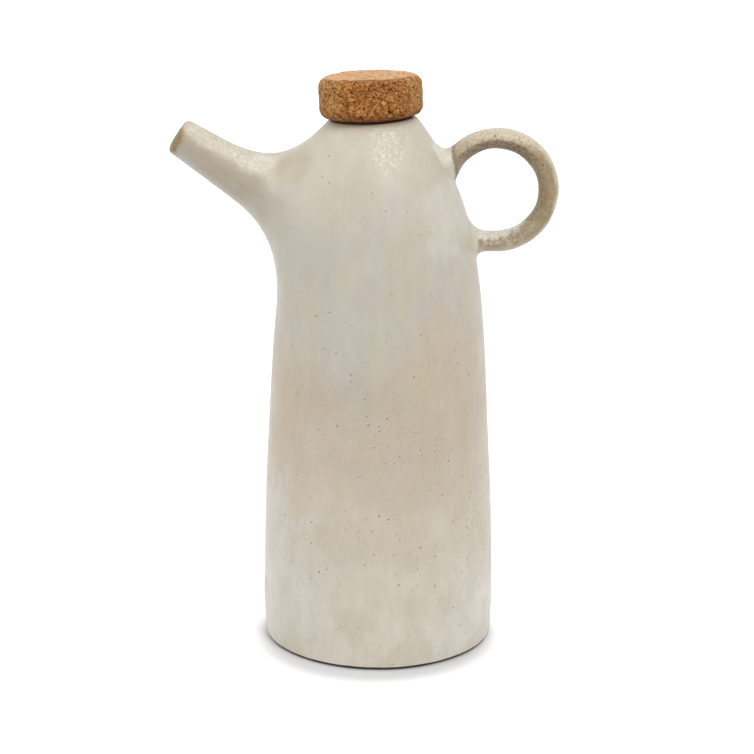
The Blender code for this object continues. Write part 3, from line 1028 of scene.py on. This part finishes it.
def spout_colours(mat, colour, gloss):
    """The spout's underside with painted shade, a painted highlight along its upper side, and its tip,
    where the glaze has run thin and burnt.
    """
    from_tip = mat.seen_from(spout_tip)
    back = mat.vector("DOT_PRODUCT", from_tip, tuple(spout_out)) * -1
    height = mat.vector("DOT_PRODUCT", from_tip, tuple(spout_up))
    share = height / (back * spout_taper + 1000 * spout_tip_radius)
    share = share + mat.noise(6, 55.5, 3).band(0.3, 0.7, -0.12, 0.12)
    # Painted shade over the underside, growing paler again at its lowest edge with painted light from
    # the floor below.
    under = mat.ramp(share, [
        (-1.0, (199, 193, 184)), (-0.72, (190, 182, 170)), (-0.42, (176, 166, 149)),
        (-0.1, (168, 157, 138)), (0.25, (174, 162, 143)), (0.7, (198, 188, 171)),
    ])
    lower = share.band(0.3, 0.72, 1, 0) * back.band(32, 56, 1, 0)
    # A painted highlight along the upper side, broken into sparkles.
    upper = share.band(0.5, 0.66) * share.band(0.88, 1.02, 1, 0)
    upper = upper * back.band(30, 44, 1, 0) * mat.deep.band(-2, 2, 1, 0.4)
    colour = mat.tinted(colour, [(under, lower * 0.92), ((221, 211, 194), upper * 0.4)])
    colour = sparkling_highlight(mat, colour, upper)

    ragged = mat.noise(2.8, 19.3, 2).band(0.25, 0.75, -0.7, 0.7)
    back = back + ragged + share.band(0.1, 0.9, 0, 2.6)
    worn = back.band(1.5, 4.0, 1, 0)
    brown = mat.mix((146, 126, 80), (120, 100, 60), mat.noise(1.6, 23.1, 3).band(0.35, 0.65))
    colour = mat.tinted(colour, [((178, 162, 132), back.band(2.4, 5.8, 0.75, 0)), (brown, worn)])
    return colour, gloss + worn * 0.08


def ring_colours(mat):
    """The thin tan glaze of the finger ring, with its burnt side and dark grains, painted shade on its
    inner side and under its top arc, and a painted highlight along its top.
    """
    radius = 1000 * ring_radius
    from_ring = mat.seen_from(ring_centre)
    right, _, high = mat.parts(from_ring)
    reach = mat.away(mat.vector("MULTIPLY", from_ring, (1, 0, 1)))
    inner = reach.band(radius - 3.0, radius + 1.6, 1, 0)
    burnt = mat.noise(4, 7.1, 4).band(0.25, 0.65, 0.55, 1) * (right + high * 0.1).band(7, 19)
    shaded = mat.noise(3, 9.9, 3).band(0.3, 0.7, 0.35, 0.7) * high.band(-20, -9, 0.3, 1)
    within = reach.band(radius - 4.2, radius - 1.8, 1, 0) * right.band(6, 14)
    crest_highlight = high.band(14, 23.5) * inner.band(0, 0.5, 1, 0)
    crest_highlight = crest_highlight * mat.noise(1.0, 13.3, 3, 0.7).band(0.38, 0.62, 0.15, 0.9)
    outer = reach + mat.noise(4, 16.6, 2).band(0.3, 0.7, -0.5, 0.5)

    turned = mat.joined((mat.most(right, 0), 0.0, high))
    limit = right.band(0, 9, radius - 1.8, radius - 3.1) + right.band(9, 17, 0, -2.4)
    limit = limit + mat.noise(2.2, 3.3, 3, 0.6).band(0.3, 0.7, -0.9, 0.9)
    inside = mat.away(turned) - limit
    pooled = inside.band(-1.5, 1.3, 1, 0) * high.band(-9, -13)
    grainy_shade_under_arc = inner.band(0.1, 0.5) * high.band(9, 16)
    under = high.band(-14, -18, 0.2, 0.55) * reach.band(radius + 0.8, radius + 2.4, 1, 0.25)
    crowd = mat.most(inner.band(0.25, 0.75) * 0.5, under, grainy_shade_under_arc) * pooled.band(0.2, 0.9, 1, 0.1)
    grains = mat.noise(1.1, 5.5, 4, 0.8).band(0.47, 0.56)
    few, _ = specks(mat, 1.3, 0.17, 0.3, 5.0)
    dots, _ = specks(mat, 3.2, 0.13, 0.35, 27.0)
    rough = mat.noise(0.95, 30.3, 4, 0.75)

    colour = mat.tinted((190, 174, 149), [
        ((174, 157, 129), mat.noise(5, 2.7, 3).band(0.35, 0.65)),
        ((148, 129, 88), burnt),
        # Painted shade on the inner side.
        ((146, 129, 101), inner * shaded),
        ((176, 158, 130), within * 0.7),
        # A painted highlight along the top of the ring.
        ((220, 204, 180), crest_highlight),
        ((210, 199, 178), outer.band(radius + 1.8, radius + 3.9) * 0.9),
        ((214, 209, 195), pooled * 0.95),
        # Painted shade under the top arc, where the grains also crowd.
        ((120, 101, 72), grainy_shade_under_arc * 0.72),
        ((92, 74, 47), grains * crowd * 0.85),
        ((120, 100, 72), few * 0.6),
        ((76, 58, 36), dots * 0.8),
    ])
    colour = mat.shade(colour, rough.band(0.36, 0.64), 0.12)
    gloss = mat.noise(3, 33.1, 3).band(0.3, 0.7, 0.42, 0.6)
    bumps = rough * 0.9 + mat.noise(2.2, 35.5) * 0.9
    return colour, gloss, bumps - dots * 0.4, pooled


def glazed_clay(name):
    """The glaze of the whole bottle: pale on the body, and thin and tan from the ring's ends on."""
    mat = Surface(name)
    level = mat.level
    colour, gloss, bumps = glaze_colours(mat)
    colour, gloss = spout_colours(mat, colour, gloss)
    tan, tan_gloss, tan_bumps, pooled = ring_colours(mat)
    edge = level.band(180, 190, 39.4, 30.2) + level.band(190, 201, 0, -1.4) + level.band(150, 157, 20, 0)
    past = mat.across - edge + mat.noise(3.2, 40.4, 1).band(0.3, 0.7, -0.3, 0.3)
    beyond = past.band(-0.45, 0.45)
    # A painted highlight on the lit side of the lower collar's fillet.
    fillet = past.band(-5.0, -0.6) * level.band(172, 186, 0.6, 0.1) * level.band(155, 164)
    nearby = mat.math("ABSOLUTE", mat.deep).band(5, 17, 1, 0)
    colour = mat.mix(colour, (212, 206, 190), fillet * nearby)
    rim = past.band(-0.3, 0.3) * past.band(0.5, 2.4, 1, 0) * pooled.band(0.1, 0.6, 0.75, 0)
    tan = mat.mix(tan, (128, 108, 80), rim * level.band(172, 186, 0.35, 1))
    colour = mat.mix(colour, tan, beyond)
    within = 1 - beyond
    mat.relief("Normal", bumps * within + tan_bumps * beyond, clay_relief)
    mat.coat(coat_weight)
    return mat.finish(colour, gloss * within + tan_gloss * beyond)


def footed_clay(name):
    """The slab: glazed down to a thin near-black line, partly toasted clay and partly painted contact
    shadow, and bare clay under it.
    """
    mat = Surface(name)
    colour, gloss, bumps = glaze_colours(mat)
    uneven = mat.noise(7, 45.5, 1).band(0.3, 0.7, -0.08, 0.08)
    bare = (mat.level + uneven).band(0.98, 1.16, 1, 0)
    sand, _ = specks(mat, 1.4, 0.2, 0.5, 50.0)
    clay = mat.tinted((158, 138, 110), [
        ((134, 114, 88), mat.noise(3.5, 47.7, 4).band(0.35, 0.65)),
        ((92, 74, 54), sand * 0.7),
        # The bare side above the underside: toasted clay, darkened further with painted contact shadow.
        ((60, 34, 14), mat.level.band(0.005, 0.05)),
    ])
    mat.coat((1 - bare) * coat_weight)
    mat.relief("Normal", bumps + mat.noise(0.6, 52.2, 4) * bare * 2, clay_relief)
    return mat.finish(mat.mix(colour, clay, bare), mat.most(gloss, bare * 0.85))


def pressed_cork(name):
    """Cork chips pressed into a block, paler on the sanded top, with dark pits between them, a painted
    sheen on its sides and painted shade towards the head's foot.
    """
    mat = Surface(name)
    bent = mat.noise(2.2, 1.1, 2)
    crumpled = mat.noise(0.9, 5.1, 4, 0.7) - 0.5
    scatter = mat.vector("SCALE", (1.1, -0.8, 0.9), bent - 0.5)
    place = mat.vector("ADD", mat.stretched((2.3, 2.3, 1.7)), scatter)
    place = mat.vector("ADD", place, mat.vector("SCALE", (-0.8, 0.9, 0.7), crumpled))
    _, chance = mat.cells(place)
    colour = mat.ramp(chance[0], [
        (0, (156, 89, 33)), (0.3, (182, 115, 51)), (0.55, (172, 103, 43)), (0.8, (192, 126, 60)),
        (1, (212, 150, 84)),
    ])
    own = mat.vector("SCALE", mat.joined(chance), 9.0)
    fibres = mat.noise_at(mat.vector("ADD", mat.stretched((0.8, 0.8, 1.2), 3.7), own), 4, 0.75)
    colour = mat.shade(colour, fibres.band(0.36, 0.64), 0.2)
    grit = mat.noise((1.4, 1.4, 1.0), 29.3, 4, 0.75)
    colour = mat.tinted(colour, [
        ((218, 168, 112), grit.band(0.51, 0.62, 0, 0.5)),
        ((98, 50, 20), grit.band(0.49, 0.39, 0, 0.55)),
    ])
    _, small_chance = mat.cells(mat.stretched((0.8, 0.8, 0.6), 6.2))
    colour = mat.shade(colour, small_chance[1], 0.08)

    joints = mat.seams(place).band(0.01, 0.09, 1, 0) * mat.noise(1.3, 8.4, 3).band(0.44, 0.58)
    flecks = mat.noise((1.1, 1.1, 0.8), 22.4, 4, 0.75).band(0.57, 0.66)
    from_mouth, height = mat.above_mouth()
    sideward = mat.vector("SUBTRACT", from_mouth, mat.vector("SCALE", tuple(mouth_up), height))
    flat_x, flat_y, _ = mat.parts(sideward)
    painted_sheen_offset = mat.math("ABSOLUTE", flat_x - 1.5)
    flat = mat.joined((flat_x * 0.86, mat.most(flat_y * 0.9, flat_y * -1.42), 0.0))
    radius = mat.away(flat) + bent.band(0.2, 0.8, -0.5, 0.5)
    top = radius.band(15.3, 16.2, 1, 0) * height.band(8, 10)
    patchy = mat.noise((2.6, 1.6, 1.6), 18.8, 4, 0.75).band(0.38, 0.62)
    rosy = mat.noise((4, 3, 3), 24.7, 3, 0.7).band(0.5, 0.64, 0, 0.4)
    head = height.band(-0.5, -0.15, 0.3, 1)
    torn = mat.noise((1.7, 1.7, 1.2), 12.6, 5, 0.75).band(0.582, 0.606)
    crumbs = mat.noise((1.0, 1.0, 0.7), 52.1, 3, 0.7).band(0.59, 0.63)
    holes = mat.most(torn, crumbs) * top.band(0, 1, 1, 0.35)
    depth = mat.node("ShaderNodeAttribute", {}, "Fac", attribute_name="pit")

    colour = mat.tinted(colour, [
        ((104, 58, 24), joints * 0.8),
        ((214, 168, 112), flecks * 0.5),
        # A painted sheen on the left and right sides.
        ((206, 158, 98), painted_sheen_offset.band(8, 18, 0, 0.42)),
    ])
    sanded = mat.shade(mat.mix(colour, (246, 200, 154), 0.7), patchy, 0.12)
    colour = mat.tinted(colour, [
        (mat.mix(sanded, (214, 150, 112), rosy), top),
        # Darker towards the head's foot: painted shade over its lower side and a painted contact shadow
        # at its foot. The plug, below the mouth, gets less of both.
        ((112, 62, 26), height.band(1.0, 5.0, 0.5, 0) * head),
        ((70, 38, 18), height.band(0.35, 1.5, 0.85, 0) * head),
        ((58, 24, 8), holes * 0.92),
        ((66, 28, 12), depth.band(0.25, 0.75)),
    ])
    mat.relief("Normal", fibres * 0.5 + chance[1] * 0.3 - holes * 1.2 - joints * 0.5 + grit, cork_relief)
    sheen = {"Sheen Weight": 0.08, "Sheen Roughness": 0.45, "Sheen Tint": linear((255, 228, 184))}
    mat.feed(mat.shader, sheen)
    return mat.finish(colour, fibres.band(0.3, 0.7, 0.68, 0.86), 0.15)


# The glaze's clear layer, and each material's relief in mm
coat_weight = 0.32
coat_roughness = 0.20
coat_grain = 0.16
clay_relief = 0.05
cork_relief = 0.35

glaze = glazed_clay("satin_glaze")
bare = footed_clay("bare_stoneware")
cork = pressed_cork("pressed_cork")
build_body(glaze)
build_spout(glaze)
build_base(bare)
build_handle(glaze)
build_pad("lower_collar", "lower_handle_pad", lower_root, lower_rim, lower_rim_way, rightward, glaze)
build_pad(
    "upper_collar", "upper_handle_pad", upper_root, upper_rim, upper_rim_way,
    -ring_way(upper_rim_turn), glaze,
)
build_stopper(cork)

# The photo's camera, with its lens and the photo's width in pixels
lens_pixels = 2200
photo_pixels = 754
sensor_mm = 36
camera_place = (-0.00045, -0.855, 0.353)
camera_down = 16

camera = bpy.data.objects.new("camera", bpy.data.cameras.new("camera"))
camera.data.sensor_width = sensor_mm
camera.data.lens = lens_pixels / photo_pixels * sensor_mm
camera.location = camera_place
camera.rotation_euler = (math.radians(90 - camera_down), 0, 0)
bpy.context.scene.collection.objects.link(camera)
bpy.context.scene.camera = camera

scene = bpy.context.scene
scene.view_settings.view_transform = "Standard"


# The light tent's strength in front and behind, the floor's colour, and how far its white is lifted,
# which is less round the foot to paint a shadow there
white = (1, 1, 1, 1)
tent_front = 0.56
tent_back = 0.96
floor_half = 6.0
floor_level = -0.0003
floor_white = 0.66
painted_shadow_lift = 0.05
floor_lift_far = 0.66


def seen_directly(nodes):
    """One for rays from the camera and in reflections and glass, and nought for light."""
    total = nodes.node("ShaderNodeLightPath", {}, "Is Camera Ray")
    rays = total.socket.node.outputs
    for name in ("Is Glossy Ray", "Is Transmission Ray"):
        inputs = {0: total, 1: Field(nodes, rays[name])}
        total = nodes.node("ShaderNodeMath", inputs, operation="ADD", use_clamp=True)
    return total


def build_world():
    """Even light from all round, like a light tent, which shows as plain white."""
    world = bpy.data.worlds.new("studio")
    scene.world = world
    world.use_nodes = True
    nodes = Recipe(world.node_tree)
    back = nodes.parts(nodes.node("ShaderNodeTexCoord", {}, "Generated"))[1]
    strength = back.band(-1, 1, tent_front, tent_back, "LINEAR")
    tent = nodes.tree.nodes["Background"]
    nodes.feed(tent, {"Color": white, "Strength": strength})
    plain = nodes.node("ShaderNodeBackground", {"Color": white, "Strength": 1})
    mixed = {0: seen_directly(nodes), 1: Field(nodes, tent.outputs[0]), 2: plain}
    shown = nodes.node("ShaderNodeMixShader", mixed)
    nodes.feed(nodes.tree.nodes["World Output"], {"Surface": shown})


def build_floor():
    """A plain white floor that keeps the bottle's shadow, with a painted shadow round the foot, where
    its white is lifted less.
    """
    low, high = -floor_half, floor_half
    sides = ((low, low), (high, low), (high, high), (low, high))
    mesh = bpy.data.meshes.new("floor")
    mesh.from_pydata([(*side, floor_level) for side in sides], [], [(0, 1, 2, 3)])
    material = bpy.data.materials.new("floor_white")
    material.use_nodes = True
    nodes = Recipe(material.node_tree)
    away = nodes.away(nodes.node("ShaderNodeTexCoord", {}, "Object"), (-0.001, -0.010, floor_level))
    # Lifted less round the foot, centred a little towards the front: a painted shadow.
    shadow_shaped_lift = away.band(0.041, 0.057, painted_shadow_lift, floor_lift_far)
    nodes.feed(nodes.tree.nodes["Principled BSDF"], {
        "Base Color": (floor_white, floor_white, floor_white, 1),
        "Roughness": 1,
        "Specular IOR Level": 0,
        "Emission Color": white,
        "Emission Strength": seen_directly(nodes) * shadow_shaped_lift,
    })
    mesh.materials.append(material)
    floor = bpy.data.objects.new("floor", mesh)
    scene.collection.objects.link(floor)


def area_light(name, energy, size, location):
    """A soft square lamp that faces the bottle."""
    light = bpy.data.lights.new(name, "AREA")
    light.energy = energy
    light.size = size
    lamp = bpy.data.objects.new(name, light)
    lamp.location = location
    lamp.rotation_euler = (lamp_target - Vector(location)).to_track_quat("-Z", "Y").to_euler()
    scene.collection.objects.link(lamp)


build_world()
build_floor()
lamp_target = Vector((0, 0, 0.12))
area_light("key", 6.5, 0.40, (0.42, -0.80, 1.05))
area_light("fill", 3.2, 0.8, (-1.1, -0.2, 0.7))
